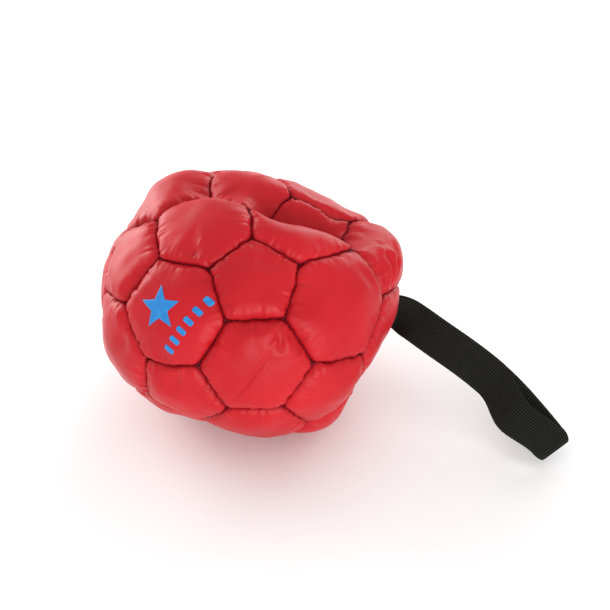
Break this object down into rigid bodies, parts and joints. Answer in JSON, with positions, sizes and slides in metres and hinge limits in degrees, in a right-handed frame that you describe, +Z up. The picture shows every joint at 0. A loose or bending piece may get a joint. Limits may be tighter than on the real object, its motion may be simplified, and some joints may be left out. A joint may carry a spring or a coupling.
{
  "type": "soft panelled ball with hand loop",
  "caption": "Soft, lightly stuffed ball of padded pentagon and hexagon leather panels, slumped and dented, with a flat webbing hand loop sewn into one seam.",
  "frame": {"origin": "a point on the largest flat the ball rests on, at floor level", "axes": "+Z up out of the floor, -Y towards the printed side, +X towards the hand loop"},
  "size_m": [0.2933, 0.1751, 0.1544],
  "materials": {
    "leather": "satin",
    "foam": "matte",
    "thread": "matte",
    "fibre": "matte",
    "webbing": "matte",
    "print": "satin"
  },
  "bodies": {
    "ball": {"core_filling": "fibre", "hexagon_pads": "foam", "hexagon_seam_thread": "thread", "loop_lock_thread": "thread", "loop_tails": "webbing", "panel_hexagon_01": "leather", "panel_hexagon_02": "leather", "panel_hexagon_03": "leather", "panel_hexagon_04": "leather", "panel_hexagon_05": "leather", "panel_hexagon_06": "leather", "panel_hexagon_07": "leather", "panel_hexagon_08": "leather", "panel_hexagon_09": "leather", "panel_hexagon_10": "leather", "panel_hexagon_11": "leather", "panel_hexagon_12": "leather", "panel_hexagon_13": "leather", "panel_hexagon_14": "leather", "panel_hexagon_15": "leather", "panel_hexagon_16": "leather", "panel_hexagon_17": "leather", "panel_hexagon_18": "leather", "panel_hexagon_19": "leather", "panel_hexagon_20": "leather", "panel_pentagon_01": "leather", "panel_pentagon_02": "leather", "panel_pentagon_03": "leather", "panel_pentagon_04": "leather", "panel_pentagon_05": "leather", "panel_pentagon_06": "leather", "panel_pentagon_07": "leather", "panel_pentagon_08": "leather", "panel_pentagon_09": "leather", "panel_pentagon_10": "leather", "panel_pentagon_11": "leather", "panel_pentagon_12": "leather", "pentagon_pads": "foam", "pentagon_seam_thread": "thread", "printed_mark": "print"},
    "loop": {"hand_loop": "webbing"}
  },
  "joints": [
    {"name": "loop_swing", "type": "hinge", "parent": "ball", "child": "loop", "pos_m": [0.06746, 0.01117, 0.05808], "axis": [0.3249, -0.0975, 0.9407], "range_deg": [-15, 75]}
  ]
}
